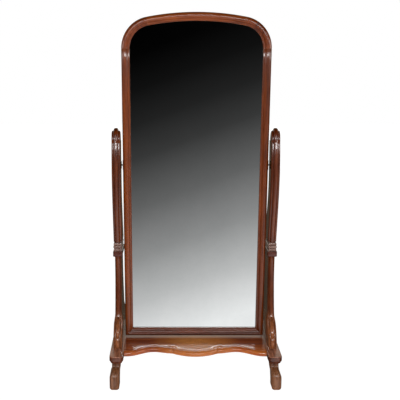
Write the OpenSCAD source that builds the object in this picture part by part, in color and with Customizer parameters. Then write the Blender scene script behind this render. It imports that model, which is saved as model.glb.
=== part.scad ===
// Cheval floor mirror: an arched, moulded mahogany frame that tilts between
// two scrolled uprights on a serpentine platform with scroll feet.
// Millimetres. Z up, X across, front towards -Y. Origin on the floor, centred.

/* [Tilting frame] */
// Outside width of the tilting frame
frame_w = 675; // [560:1:810]
// Height of the tilting frame, bottom edge to crown
frame_h = 1532; // [1270:1:1840]
// Thickness of the frame, front to back
frame_t = 36; // [30:0.5:44]
// Width of the moulded face
face_w = 38; // [31:0.5:46]
// Outer radius of the two shoulders of the arch
shoulder_r = 140; // [110:1:170]
// Outer radius of the flat crown of the arch
crown_r = 1200; // [1000:10:1440]
// Radius of the rounded outer edge
edge_round = 15; // [12:0.5:17]
// How far the broad swell inside that edge falls towards the glass
swell_d = 5; // [3.5:0.1:6]
// Width of the hollow beside the glass
hollow_w = 9; // [7:0.5:11]
// Depth of that hollow
hollow_d = 4; // [3:0.1:5]
// Small flat lip at the edge of the glass
lip_w = 2; // [1:0.1:3]

/* [Glass and back] */
// Thickness of the silvered plate
glass_t = 5; // [3:0.5:5]
// How far the frame laps over the front of the plate
glass_lap = 10; // [8:0.5:12]
// Gap round the plate, filled by softwood wedges
wedge_t = 3; // [2:0.5:4]
// Length of each softwood wedge
wedge_l = 40; // [25:1:60]
// Thickness of the framed back
back_t = 10; // [8:0.5:10]
// How far the framed back laps over the frame, for its screws
back_lap = 8; // [7:0.5:9]
// Width of the back's stiles and rails
back_rail_w = 40; // [30:1:60]
// Thickness of the back's two panels
panel_t = 5; // [3:0.5:6]
// How far each panel is let into its rails
panel_lap = 6; // [4:0.5:10]

/* [Pivot] */
// Height of the pivot above the frame's bottom edge
pivot_up = 846; // [705:1:1015]
// Gap between the frame's side and the upright
side_gap = 9.5; // [7.5:0.5:14]
// Diameter of the pivot pin
pin_d = 5; // [4:0.5:6]
// Running clearance between pin and socket plate, on the radius
pin_fit = 0.05; // [0.02:0.01:0.1]
// Height of the brass plate let into the frame's side
plate_h = 44; // [40:1:50]
// Width of that plate
plate_w = 14; // [12:0.5:14]
// Height of the oval socket plate on the upright
socket_h = 36; // [32:1:44]
// Width of the socket plate
socket_w = 18; // [16:1:22]
// Thickness of the socket plate
socket_t = 3.5; // [2.5:0.5:4.5]
// Thickness of the plate let into the frame
brass_t = 3; // [2:0.5:3.5]
// Thickness of the leather friction washer
washer_t = 1; // [0.5:0.5:1.5]

/* [Uprights] */
// Thickness of the upper scroll, side to side
upper_t = 40; // [33:1:47]
// Thickness of the lower scroll
lower_t = 31; // [26:1:37]
// Thickness of the carved knee
knee_t = 40; // [34:1:46]
// Width of the bead that runs down the front edge
rib_w = 23; // [16:1:26]
// How far that bead stands in front of its shoulders
rib_d = 12; // [8:1:15]
// Height of the lower scroll, platform to collar
lower_h = 422; // [352:1:506]
// Height of the collar between the scrolls
collar_h = 68; // [57:1:81]
// How far the collar stands proud of the scrolls
collar_lip = 10; // [6:1:14]
// Height of the separate cap on each upright
cap_h = 62; // [52:1:74]
// Height of the cap's top above the pivot
cap_up = 172; // [143:1:206]

/* [Platform and feet] */
// Height of the platform's top above the floor
platform_z = 165; // [138:1:198]
// Thickness of the platform
platform_t = 24; // [20:1:28]
// Gap between the platform and the frame's bottom edge
floor_gap = 12; // [8:1:20]
// Depth of the stand over its feet
stand_d = 460; // [384:1:552]
// How far the feet reach past the end blocks
foot_reach = 4; // [0:1:12]
// Width of each end block
block_w = 64; // [54:1:74]
// Corner radius of each end block
block_r = 20; // [10:1:26]
// Height of the small stepped moulding under each block
step_h = 10; // [6:1:12]
// How far that moulding is set in
step_in = 5; // [3:0.5:8]
// Distance of the platform's back edge behind the pivot
platform_back = 165; // [130:1:180]
// Width of each leg at its neck
leg_w = 38; // [32:1:45]
// Width of each scroll foot
foot_w = 44; // [38:1:50]
// How far the legs stand outboard of the uprights
leg_out = 5; // [0:1:9]
// How far each foot splays outboard of its leg's neck
foot_out = 5; // [0:1:8]

/* [Fixings] */
// Diameter of the frame's dowels
frame_dowel_d = 8; // [6:0.5:9]
// Diameter of the stand's dowels
stand_dowel_d = 12; // [10:0.5:14]
// Diameter of the back's screws
back_screw_d = 3.4; // [3:0.1:3.8]
// Diameter of the small plate screws
plate_screw_d = 3; // [2.4:0.1:3.2]

/* [Hidden] */
$fn = 96;

mahogany = "#6e3a22";
light_mahogany = "#8a4a28";
softwood = "#c9a877";
brass = "#a8843e";
steel = "#7a7a78";
leather = "#4a3324";
silver = "#c8ced2";

fit = 0.1;            // clearance of dowels and screws in their holes
board_gap = 0.3;      // clearance round boards dropped into a rebate
half_w = frame_w / 2;
half_t = frame_t / 2;
frame_z = platform_z + floor_gap;
frame_top = frame_z + frame_h;
pivot_z = frame_z + pivot_up;

// Arch: two shoulder arcs meet the crown arc on one line through both centres.
shoulder_x = half_w - shoulder_r;
crown_rise = sqrt(pow(crown_r - shoulder_r, 2) - pow(shoulder_x, 2));
crown_z = frame_top - crown_r;
spring_z = crown_z + crown_rise;
crown_a = atan(shoulder_x / crown_rise);

// Back frame, set in the outer rebate behind the glass.
back_inset = face_w - glass_lap - back_lap + board_gap;
back_side_x = half_w - back_inset - back_rail_w;
back_low_z = frame_z + back_inset;
back_drop = 70;       // height of the back below the springing of the arch
back_top_z = spring_z - back_drop;
back_mid_z = (back_low_z + back_top_z) / 2;
screw_inset = face_w - glass_lap - back_lap / 2;
screw_seat = half_t - back_t;
screw_bite = 8;       // length of each back screw in the frame

plate_let = 2;        // depth that the frame plate is let in
pin_in = 15;          // length of pin inside the frame
pin_out = 20;         // length of pin inside the upright
pin_room = 0.5;       // gap round and beyond the pin inside the upright
shoulder_d = pin_d + 1.5;   // shoulder of the pin, which presses the washer
washer_d = pin_d + 4;
play = 0.05;          // gap between washer and socket plate
inner_x = half_w + side_gap;
upright_x = inner_x + upper_t / 2;
leg_x = upright_x + leg_out;
plate_screw_l = 14;
socket_screw_l = 16;
plate_edge = 7;       // distance of each plate's screws from its ends
plate_screw_z = plate_h / 2 - plate_edge;
socket_screw_z = socket_h / 2 - plate_edge;

// Dowels: lengths, and how far they reach below the joint.
dowel_in = (face_w - glass_lap - back_lap) / 2;
frame_dowel_l = 36;
mitre_dowel_l = 20;
mitre_in = 17;
cap_dowel_l = 40;
collar_bite = 30;
upright_dowel_l = 56;
platform_dowel_l = 40;
leg_dowel_l = 40;
block_bite = 22;
leg_bite = 18;
collar_dowel_y = 36;
upright_dowel_y = [-85, 110];
platform_dowel_y = [-90, 0, 90];
leg_dowel_y = [50, 150];

block_low = platform_z - platform_t - step_h;
block_l = stand_d - 2 * foot_reach;
platform_x = upright_x - block_w / 2;
collar_low = platform_z + lower_h;
collar_top = collar_low + collar_h;
cap_top = pivot_z + cap_up;
cap_low = cap_top - cap_h;

// Edges of the scrolls in side view: [share of the height, distance behind the pivot].
upper_front = [[0, -24], [0.15, -35], [0.41, -54], [0.65, -62], [0.8, -59], [0.92, -51], [1, -42]];
upper_back = [[0, 95], [0.2, 68], [0.41, 42], [0.6, 34], [0.78, 38], [1, 46]];
lower_front = [[0, -146], [0.09, -139], [0.17, -124], [0.24, -102], [0.31, -74], [0.41, -57],
               [0.56, -40], [0.76, -25], [1, -22]];
lower_back = [[0, 155], [0.15, 150], [0.36, 138], [0.6, 112], [0.8, 100], [1, 95]];
knee_top = 0.31;      // share of the lower scroll's height taken by the knee
knee_set = 3;         // how far the knee's faces lie behind the crest of the bead
knee_depth = 40;      // depth of the knee behind the front edge
collar_side = 2;      // how far the collar stands out to each side

// Collar: [share of the height below, share above, set-in] of its block and rings.
collar_rings = [[0, 0.38, 0], [0.38, 0.58, 3.5], [0.58, 0.8, 2], [0.8, 1, 3.5]];

// Wedges: shares of the height up each side, and of the half width along the bottom.
side_wedges = [0.1, 0.3, 0.5, 0.7, 0.9];
foot_wedges = [-0.6, 0, 0.6];
side_screws = [0.08, 0.36, 0.64, 0.92];

// Front edge of the platform: a centre bow, a cusp and a hollow on each side.
// Places across are shares of the platform's half width.
bow_y = -174;
cusp_at = 0.324;
cusp_y = -139;
hollow_at = 0.585;
hollow_y = -123;
end_at = 0.96;
end_y = -170;
edge_r = 17;          // depth of the moulded edge

// Leg in side view, from the block down the front to the foot: [behind foot tip, height].
leg_front = [[34, 0], [44, -0.1], [49, -0.2], [42, -0.29], [22, -0.36], [6, -0.48], [0, -0.66],
             [0.5, -0.95], [4, -1]];
leg_under = [[48, -1], [62, -0.92], [66, -0.76], [84, -0.52], [120, -0.3], [168, -0.21]];
leg_crown = 26;       // height of wood left where the two legs meet
foot_rise = 0.66;     // share of the leg's height taken by the foot
foot_l = 70;          // length of the wider foot from its tip

function catmull(a, b, c, d, t) =
    0.5 * (2 * b + (c - a) * t + (2 * a - 5 * b + 4 * c - d) * t * t
        + (3 * b - a - 3 * c + d) * t * t * t);
function spline(p, steps) = concat(
    [for (i = [0:len(p) - 2]) for (k = [0:steps - 1])
        catmull(p[max(i - 1, 0)], p[i], p[i + 1], p[min(i + 2, len(p) - 1)], k / steps)],
    [p[len(p) - 1]]);
function arc_points(c, rx, ry, a0, a1, n) =
    [for (i = [0:n]) let (a = a0 + (a1 - a0) * i / n) c + [rx * cos(a), ry * sin(a)]];
function reversed(p) = [for (i = [len(p) - 1:-1:0]) p[i]];
function shifted(p, dy) = [for (q = p) [q[0] + dy, q[1]]];
function shares_behind(shares, dy) = [for (s = shares) [s[0], s[1] + dy]];
function first_y(shares) = shares[0][1];
function last_y(shares) = shares[len(shares) - 1][1];

// An edge of a scroll as points [y, z] between two heights.
function edge(shares, low, high) =
    spline([for (s = shares) [s[1], low + (high - low) * s[0]]], 6);

// Cross-section of the frame: x runs inward from the outer edge as negative, y is forward.
// A rounded outer edge, a fine step, a broad swell, a hollow and a small lip at the glass.
function frame_profile() =
    let (hollow_x = face_w - lip_w,
         swell_w = hollow_x - hollow_w - edge_round,
         arris = 1,
         low_y = half_t - arris - swell_d)
    concat(
        [[-arris, -half_t], [0, arris - half_t]],
        arc_points([-edge_round, half_t - edge_round], edge_round, edge_round, 0, 90, 12),
        arc_points([-edge_round, low_y], swell_w, swell_d, 90, 160, 10),
        arc_points([-hollow_x, low_y], hollow_w, hollow_d, -10, -90, 8),
        [[-face_w, low_y - hollow_d - arris / 2], [-face_w, 0], [glass_lap - face_w, 0],
         [glass_lap - face_w, back_t - half_t],
         [glass_lap + back_lap - face_w, back_t - half_t],
         [glass_lap + back_lap - face_w, -half_t]]);

module frame_section() { polygon(frame_profile()); }

module on_side(side) {
    if (side < 0) mirror([1, 0, 0]) children();
    else children();
}

// Extrudes a [y, z] outline along X, from x0 through t.
module side_board(x0, t) {
    translate([x0, 0, 0]) rotate([90, 0, 90]) linear_extrude(t) children();
}

// Outline of the arched frame, set in by d all round.
module arch_2d(d) {
    far = crown_r / pow(cos(crown_a), 2);
    translate([d - half_w, frame_z + d]) square([2 * (half_w - d), spring_z - frame_z - d]);
    for (s = [-1, 1]) translate([s * shoulder_x, spring_z]) circle(shoulder_r - d);
    intersection() {
        translate([0, crown_z]) circle(crown_r - d);
        translate([0, crown_z]) polygon([[0, 0], [far * sin(crown_a), far * cos(crown_a)],
                                         [-far * sin(crown_a), far * cos(crown_a)]]);
    }
}

// A flat board in the plane of the mirror, from y0 back through t.
module flat_board(y0, t) {
    translate([0, y0 + t, 0]) rotate([90, 0, 0]) linear_extrude(t) children();
}

// Countersunk slotted screw along +Z with its point at 0. Grown, it cuts its own hole.
module screw(l, d, grow = 0) {
    head_h = 0.6 * d;
    head_r = 0.95 * d;
    slot = 0.25 * d;
    difference() {
        union() {
            cylinder(h = l, d = d + 2 * grow);
            translate([0, 0, l - head_h]) cylinder(h = head_h, r1 = d / 2 + grow, r2 = head_r + grow);
        }
        if (grow == 0) translate([-d, -slot / 2, l - slot]) cube([2 * d, slot, d]);
    }
}

// ---- places of the fixings, on the right-hand side ----

module at_spring_dowel() {
    translate([half_w - dowel_in, 0, spring_z - frame_dowel_l / 2]) children();
}
module at_crown_dowel() {
    translate([0, 0, crown_z]) rotate([0, crown_a, 0])
        translate([-frame_dowel_l / 2, 0, crown_r - dowel_in]) rotate([0, 90, 0]) children();
}
module at_mitre_dowel() {
    translate([half_w, 0, frame_z]) rotate([0, 45, 0])
        translate([-mitre_in, 0, -mitre_dowel_l / 2]) children();
}
module at_side_screws() {
    for (s = side_screws)
        translate([half_w - screw_inset, screw_seat - screw_bite,
                   back_low_z + s * (back_top_z - back_low_z)])
            rotate([-90, 0, 0]) children();
}
module at_rail_screws() {
    for (x = [-half_w / 2, half_w / 2])
        translate([x, screw_seat - screw_bite, frame_z + screw_inset]) rotate([-90, 0, 0]) children();
}
module at_crown_screw() {
    translate([0, screw_seat - screw_bite, frame_top - screw_inset]) rotate([-90, 0, 0]) children();
}
module at_plate_screws() {
    for (s = [-1, 1])
        translate([half_w - plate_let + brass_t - plate_screw_l, 0, pivot_z + s * plate_screw_z])
            rotate([0, 90, 0]) children();
}
module at_socket_screws() {
    for (s = [-1, 1])
        translate([inner_x - socket_t + socket_screw_l, 0, pivot_z + s * socket_screw_z])
            rotate([0, -90, 0]) children();
}
module at_cap_dowel() {
    translate([upright_x, (last_y(upper_front) + last_y(upper_back)) / 2, cap_low - cap_dowel_l / 2])
        children();
}
module at_collar_dowel() {
    translate([upright_x, collar_dowel_y, collar_low - collar_bite]) children();
}
module at_upright_dowels() {
    for (y = upright_dowel_y) translate([upright_x, y, platform_z - block_bite]) children();
}
module at_platform_dowels() {
    for (y = platform_dowel_y)
        translate([platform_x - platform_dowel_l / 2, y, platform_z - platform_t / 2])
            rotate([0, 90, 0]) children();
}
module at_leg_dowels(front) {
    for (y = leg_dowel_y) translate([leg_x, -front * y, block_low - leg_bite]) children();
}

module dowel(l, d, grow) { cylinder(h = l, d = d + 2 * grow); }
module frame_dowel(grow = 0) { dowel(frame_dowel_l, frame_dowel_d, grow); }
module mitre_dowel(grow = 0) { dowel(mitre_dowel_l, 0.75 * frame_dowel_d, grow); }
module cap_dowel(grow = 0) { dowel(cap_dowel_l, frame_dowel_d, grow); }
module collar_dowel(grow = 0) { dowel(collar_h + 2 * collar_bite, stand_dowel_d, grow); }
module upright_dowel(grow = 0) { dowel(upright_dowel_l, stand_dowel_d, grow); }
module platform_dowel(grow = 0) { dowel(platform_dowel_l, 0.8 * stand_dowel_d, grow); }
module leg_dowel(grow = 0) { dowel(leg_dowel_l, stand_dowel_d, grow); }
module back_screw(grow = 0) { screw(back_t + screw_bite, back_screw_d, grow); }
module plate_screw(grow = 0) { screw(plate_screw_l, plate_screw_d, grow); }
module socket_screw(grow = 0) { screw(socket_screw_l, plate_screw_d, grow); }

// ---- tilting frame ----

// Everything beyond the mitre line at a bottom corner: up = 1 above it, -1 below.
module past_mitre(up) {
    big = 3 * face_w;
    translate([half_w, 0, frame_z]) rotate([0, 45, 0])
        translate([-big, -frame_t, up > 0 ? 0 : -big]) cube([2 * big, 2 * frame_t, big]);
}

module stile(side) {
    color(mahogany) on_side(side) difference() {
        translate([half_w, 0, frame_z]) linear_extrude(spring_z - frame_z)
            mirror([0, 1]) frame_section();
        past_mitre(-1);
        translate([half_w - plate_let, -plate_w / 2 - fit, pivot_z - plate_h / 2 - fit])
            cube([2 * plate_let, plate_w + 2 * fit, plate_h + 2 * fit]);
        translate([half_w - pin_in, 0, pivot_z]) rotate([0, 90, 0])
            cylinder(h = pin_in + 1, d = pin_d + 2 * fit);
        at_spring_dowel() frame_dowel(fit);
        at_mitre_dowel() mitre_dowel(fit);
        at_side_screws() back_screw(fit);
        at_plate_screws() plate_screw(fit);
    }
}

module shoulder(side) {
    color(mahogany) on_side(side) difference() {
        translate([shoulder_x, 0, spring_z]) rotate([90, 0, 0])
            rotate_extrude(angle = 90 - crown_a) translate([shoulder_r, 0]) frame_section();
        at_spring_dowel() frame_dowel(fit);
        at_crown_dowel() frame_dowel(fit);
    }
}

module crown_rail() {
    color(mahogany) difference() {
        translate([0, 0, crown_z]) rotate([90, 0, 0]) rotate([0, 0, 90 - crown_a])
            rotate_extrude(angle = 2 * crown_a) translate([crown_r, 0]) frame_section();
        for (side = [-1, 1]) on_side(side) at_crown_dowel() frame_dowel(fit);
        at_crown_screw() back_screw(fit);
    }
}

module bottom_rail() {
    color(mahogany) difference() {
        translate([-half_w, 0, frame_z]) rotate([0, 90, 0]) linear_extrude(frame_w)
            mirror([0, 1]) frame_section();
        for (side = [-1, 1]) on_side(side) {
            past_mitre(1);
            at_mitre_dowel() mitre_dowel(fit);
        }
        at_rail_screws() back_screw(fit);
    }
}

module frame_dowels() {
    color(softwood) for (side = [-1, 1]) on_side(side) {
        at_spring_dowel() frame_dowel();
        at_crown_dowel() frame_dowel();
    }
}

module mitre_dowels() {
    color(softwood) for (side = [-1, 1]) on_side(side) at_mitre_dowel() mitre_dowel();
}

module mirror_plate() {
    color(silver) flat_board(0, glass_t) arch_2d(face_w - glass_lap + wedge_t);
}

// Wedges between the plate's edge and the rebate, down both sides and along the bottom.
module plate_wedges() {
    wedge_d = half_t - back_t - board_gap;
    wall = face_w - glass_lap;
    color(softwood) {
        for (side = [-1, 1], s = side_wedges) on_side(side)
            translate([half_w - wall - wedge_t, 0, frame_z + s * (spring_z - frame_z)])
                cube([wedge_t, wedge_d, wedge_l]);
        for (x = foot_wedges)
            translate([x * half_w - wedge_l / 2, 0, frame_z + wall]) cube([wedge_l, wedge_d, wedge_t]);
    }
}

// ---- framed back ----

module back_cut(z0, z1, gap) {
    translate([-back_side_x - panel_lap - gap, screw_seat - gap, z0 - panel_lap - gap])
        cube([2 * (back_side_x + panel_lap + gap), panel_t + gap, z1 - z0 + 2 * (panel_lap + gap)]);
}
module lower_panel_space(gap = 0) {
    back_cut(back_low_z + back_rail_w, back_mid_z - back_rail_w / 2, gap);
}
module upper_panel_space(gap = 0) {
    back_cut(back_mid_z + back_rail_w / 2, back_top_z, gap);
}

module back_stile(side) {
    color(light_mahogany) on_side(side) difference() {
        translate([back_side_x, screw_seat, back_low_z])
            cube([back_rail_w, back_t, back_top_z - back_low_z]);
        lower_panel_space(board_gap);
        upper_panel_space(board_gap);
        at_side_screws() back_screw(fit);
    }
}

module back_rail(z0, h) {
    color(light_mahogany) difference() {
        translate([-back_side_x, screw_seat, z0]) cube([2 * back_side_x, back_t, h]);
        lower_panel_space(board_gap);
        upper_panel_space(board_gap);
        at_rail_screws() back_screw(fit);
    }
}

module back_top_rail() {
    color(light_mahogany) difference() {
        intersection() {
            flat_board(screw_seat, back_t) arch_2d(back_inset);
            translate([-half_w, 0, back_top_z]) cube([frame_w, frame_t, frame_h]);
        }
        upper_panel_space(board_gap);
        at_crown_screw() back_screw(fit);
    }
}

module back_screws() {
    color(steel) {
        for (side = [-1, 1]) on_side(side) at_side_screws() back_screw();
        at_rail_screws() back_screw();
        at_crown_screw() back_screw();
    }
}

// ---- pivots ----

module frame_plate(side) {
    color(brass) on_side(side) difference() {
        translate([half_w - plate_let, -plate_w / 2, pivot_z - plate_h / 2])
            cube([brass_t, plate_w, plate_h]);
        translate([half_w - plate_let - 1, 0, pivot_z]) rotate([0, 90, 0])
            cylinder(h = brass_t + 2, d = pin_d + 2 * fit);
        at_plate_screws() plate_screw(fit);
    }
}

module frame_plate_screws() {
    color(steel) for (side = [-1, 1]) on_side(side) at_plate_screws() plate_screw();
}

module pivot_pin(side) {
    face = half_w - plate_let + brass_t;
    color(brass) on_side(side) rotate([0, 90, 0]) translate([-pivot_z, 0, 0]) {
        translate([0, 0, half_w - pin_in]) cylinder(h = pin_in + side_gap + pin_out, d = pin_d);
        translate([0, 0, face]) cylinder(h = inner_x - socket_t - play - washer_t - face, d = shoulder_d);
    }
}

module friction_washer(side) {
    color(leather) on_side(side)
        translate([inner_x - socket_t - play - washer_t, 0, pivot_z]) rotate([0, 90, 0]) difference() {
            cylinder(h = washer_t, d = washer_d);
            translate([0, 0, -1]) cylinder(h = washer_t + 2, d = pin_d + 2 * fit);
        }
}

module socket_plate(side) {
    run = (socket_h - socket_w) / 2;
    color(brass) on_side(side) difference() {
        side_board(inner_x - socket_t, socket_t) translate([0, pivot_z]) {
            for (s = [-1, 1]) translate([0, s * run]) circle(d = socket_w);
            translate([-socket_w / 2, -run]) square([socket_w, 2 * run]);
        }
        translate([inner_x - socket_t - 1, 0, pivot_z]) rotate([0, 90, 0])
            cylinder(h = socket_t + 2, r = pin_d / 2 + pin_fit);
        at_socket_screws() socket_screw(fit);
    }
}

module socket_plate_screws() {
    color(steel) for (side = [-1, 1]) on_side(side) at_socket_screws() socket_screw();
}

// ---- uprights ----

// Side outline between two edges, with the front edge set back.
module scroll_2d(front, back, low, high, set_back) {
    polygon(concat(shifted(edge(front, low, high), set_back), reversed(edge(back, low, high))));
}

module upper_scroll(side) {
    color(mahogany) on_side(side) difference() {
        union() {
            side_board(inner_x, upper_t)
                scroll_2d(upper_front, upper_back, collar_top, cap_low, rib_d);
            side_board(upright_x - rib_w / 2, rib_w)
                scroll_2d(upper_front, upper_back, collar_top, cap_low, 0);
        }
        translate([inner_x - 1, 0, pivot_z]) rotate([0, 90, 0])
            cylinder(h = 1 + pin_out + pin_room, r = pin_d / 2 + pin_room);
        at_socket_screws() socket_screw(fit);
        at_cap_dowel() cap_dowel(fit);
        at_collar_dowel() collar_dowel(fit);
    }
}

module cap_2d(set_in) {
    y0 = last_y(upper_front) + set_in;
    y1 = last_y(upper_back);
    polygon(arc_points([(y0 + y1) / 2, cap_low], (y1 - y0) / 2, cap_h - set_in, 0, 180, 24));
}

module scroll_cap(side) {
    color(mahogany) on_side(side) difference() {
        union() {
            side_board(inner_x, upper_t) cap_2d(rib_d);
            side_board(upright_x - rib_w / 2, rib_w) cap_2d(0);
        }
        at_cap_dowel() cap_dowel(fit);
    }
}

module cap_dowels() {
    color(softwood) for (side = [-1, 1]) on_side(side) at_cap_dowel() cap_dowel();
}

// Square block below three stepped rings.
module collar(side) {
    y0 = min(first_y(upper_front), last_y(lower_front)) - collar_lip;
    y1 = max(first_y(upper_back), last_y(lower_back)) + collar_lip;
    half = max(upper_t, lower_t) / 2 + collar_side;
    color(mahogany) on_side(side) difference() {
        for (r = collar_rings)
            translate([upright_x - half + r[2], y0 + r[2], collar_low + r[0] * collar_h])
                cube([2 * (half - r[2]), y1 - y0 - 2 * r[2], (r[1] - r[0]) * collar_h]);
        at_collar_dowel() collar_dowel(fit);
    }
}

module collar_dowels() {
    color(softwood) for (side = [-1, 1]) on_side(side) at_collar_dowel() collar_dowel();
}

module lower_scroll(side) {
    color(mahogany) on_side(side) difference() {
        union() {
            side_board(upright_x - lower_t / 2, lower_t)
                scroll_2d(lower_front, lower_back, platform_z, collar_low, rib_d);
            side_board(upright_x - rib_w / 2, rib_w)
                scroll_2d(lower_front, lower_back, platform_z, collar_low, 0);
            intersection() {
                side_board(upright_x - knee_t / 2, knee_t)
                    scroll_2d(lower_front, shares_behind(lower_front, knee_depth), platform_z,
                              collar_low, knee_set);
                translate([0, -stand_d / 2, platform_z]) cube([frame_w, stand_d, knee_top * lower_h]);
            }
        }
        at_collar_dowel() collar_dowel(fit);
        at_upright_dowels() upright_dowel(fit);
    }
}

module upright_dowels() {
    color(softwood) for (side = [-1, 1]) on_side(side) at_upright_dowels() upright_dowel();
}

// ---- platform and feet ----

module rounded_2d(w, l, r) {
    square([w - 2 * r, l], center = true);
    square([w, l - 2 * r], center = true);
    for (sx = [-1, 1], sy = [-1, 1]) translate([sx * (w / 2 - r), sy * (l / 2 - r)]) circle(r);
}

module end_block(side) {
    color(mahogany) on_side(side) difference() {
        union() {
            translate([upright_x, 0, platform_z - platform_t]) linear_extrude(platform_t)
                rounded_2d(block_w, block_l, block_r);
            translate([upright_x, 0, block_low]) linear_extrude(step_h)
                rounded_2d(block_w - 2 * step_in, block_l - 2 * step_in, block_r - step_in);
        }
        at_upright_dowels() upright_dowel(fit);
        at_platform_dowels() platform_dowel(fit);
        for (front = [-1, 1]) at_leg_dowels(front) leg_dowel(fit);
    }
}

// Front edge of the platform at a share of its half width, in half-cosine sweeps.
function sweep(a, b, t) = a + (b - a) * (1 - cos(180 * t)) / 2;
function front_y(s) =
    s < cusp_at ? bow_y + (cusp_y - bow_y) * pow(s / cusp_at, 2)
    : s < hollow_at ? sweep(cusp_y, hollow_y, (s - cusp_at) / (hollow_at - cusp_at))
    : sweep(hollow_y, end_y, min((s - hollow_at) / (end_at - hollow_at), 1));

module platform_2d(set_in) {
    n = 32;
    right = [for (i = [0:n]) [platform_x * i / n, front_y(i / n) + set_in]];
    left = [for (i = [n:-1:1]) [-right[i][0], right[i][1]]];
    polygon(concat(left, right, [[platform_x, platform_back], [-platform_x, platform_back]]));
}

// The moulded front edge steps back over the upper part of the board.
module platform() {
    steps = 4;
    low = platform_t - edge_r;
    color(light_mahogany) difference() {
        for (i = [0:steps])
            let (a = 90 * i / (steps + 1), b = 90 * (i + 1) / (steps + 1))
            translate([0, 0, platform_z - platform_t]) linear_extrude(low + edge_r * sin(b))
                platform_2d(edge_r * (1 - cos(a)));
        for (side = [-1, 1]) on_side(side) at_platform_dowels() platform_dowel(fit);
    }
}

module platform_dowels() {
    color(softwood) for (side = [-1, 1]) on_side(side) at_platform_dowels() platform_dowel();
}

module leg_2d() {
    tip = -stand_d / 2;
    front = spline([for (p = leg_front) [tip + p[0], block_low * (1 + p[1])]], 6);
    under = spline(concat([for (p = leg_under) [tip + p[0], block_low * (1 + p[1])]],
                          [[0, block_low - leg_crown]]), 6);
    polygon(concat(front, under, [[0, block_low]]));
}

module leg(side, front) {
    foot_top = block_low * foot_rise;
    foot_back = foot_l - stand_d / 2;
    color(mahogany) on_side(side) mirror([0, front > 0 ? 0 : 1, 0]) difference() {
        union() {
            side_board(leg_x - leg_w / 2, leg_w) leg_2d();
            intersection() {
                side_board(leg_x + foot_out - foot_w / 2, foot_w) leg_2d();
                translate([0, -stand_d, 0]) cube([frame_w, stand_d + foot_back, foot_top]);
            }
        }
        at_leg_dowels(1) leg_dowel(fit);
    }
}

module leg_dowels() {
    color(softwood) for (side = [-1, 1], front = [-1, 1]) on_side(side) at_leg_dowels(front) leg_dowel();
}

stile(-1);  // stile_left
stile(1);  // stile_right
shoulder(-1);  // shoulder_left
shoulder(1);  // shoulder_right
crown_rail();
bottom_rail();
frame_dowels();
mitre_dowels();
mirror_plate();
plate_wedges();
back_stile(-1);  // back_stile_left
back_stile(1);  // back_stile_right
back_top_rail();
back_rail(back_mid_z - back_rail_w / 2, back_rail_w);  // back_mid_rail
back_rail(back_low_z, back_rail_w);  // back_bottom_rail
color(light_mahogany) upper_panel_space();  // back_panel_upper
color(light_mahogany) lower_panel_space();  // back_panel_lower
back_screws();
frame_plate(-1);  // frame_plate_left
frame_plate(1);  // frame_plate_right
frame_plate_screws();
pivot_pin(-1);  // pivot_pin_left
pivot_pin(1);  // pivot_pin_right
friction_washer(-1);  // friction_washer_left
friction_washer(1);  // friction_washer_right
socket_plate(-1);  // socket_plate_left
socket_plate(1);  // socket_plate_right
socket_plate_screws();
scroll_cap(-1);  // scroll_cap_left
scroll_cap(1);  // scroll_cap_right
upper_scroll(-1);  // upper_scroll_left
upper_scroll(1);  // upper_scroll_right
collar(-1);  // collar_left
collar(1);  // collar_right
lower_scroll(-1);  // lower_scroll_left
lower_scroll(1);  // lower_scroll_right
cap_dowels();
collar_dowels();
upright_dowels();
end_block(-1);  // end_block_left
end_block(1);  // end_block_right
platform();
platform_dowels();
leg(-1, 1);  // front_leg_left
leg(1, 1);  // front_leg_right
leg(-1, -1);  // rear_leg_left
leg(1, -1);  // rear_leg_right
leg_dowels();
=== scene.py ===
import math

import bmesh
import bpy
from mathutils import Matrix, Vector


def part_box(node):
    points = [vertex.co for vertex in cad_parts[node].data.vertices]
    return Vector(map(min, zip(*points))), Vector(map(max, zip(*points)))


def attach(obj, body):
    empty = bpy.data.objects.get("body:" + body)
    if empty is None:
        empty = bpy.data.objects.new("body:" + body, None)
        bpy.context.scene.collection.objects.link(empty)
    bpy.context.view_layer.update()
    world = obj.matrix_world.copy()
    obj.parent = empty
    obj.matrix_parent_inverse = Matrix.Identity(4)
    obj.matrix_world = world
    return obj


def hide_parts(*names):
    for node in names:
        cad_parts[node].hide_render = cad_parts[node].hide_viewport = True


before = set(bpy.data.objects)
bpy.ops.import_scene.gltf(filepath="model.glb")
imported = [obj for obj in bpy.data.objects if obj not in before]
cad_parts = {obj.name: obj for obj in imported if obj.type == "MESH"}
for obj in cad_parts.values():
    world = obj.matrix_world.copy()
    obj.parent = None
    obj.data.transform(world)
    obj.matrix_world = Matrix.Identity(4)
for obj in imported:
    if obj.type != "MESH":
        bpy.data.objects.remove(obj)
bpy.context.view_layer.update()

# ---- The room ---------------------------------------------------------------------------
# A white studio with a pale floor. The mirror faces the dark end of the room, which fades to
# white towards the floor, so a plain graded screen stands there that only reflections see.

scene = bpy.context.scene
scene.view_settings.view_transform = "Standard"

eye = Vector((-0.114, -3.0, 1.51))
look_down = math.radians(12.3)
camera = bpy.data.objects.new("camera", bpy.data.cameras.new("camera"))
camera.location = eye
camera.rotation_euler = (math.radians(90) - look_down, 0, 0)
camera.data.lens = 58.7
camera.data.sensor_width = 36
camera.data.shift_x = 0.0725
scene.collection.objects.link(camera)
scene.camera = camera


def linear(hex_colour):
    """The linear RGBA of an sRGB hex colour."""
    parts = [int(hex_colour[i:i + 2], 16) / 255 for i in (1, 3, 5)]
    return tuple(c / 12.92 if c <= 0.04045 else ((c + 0.055) / 1.055) ** 2.4 for c in parts) + (1,)


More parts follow.
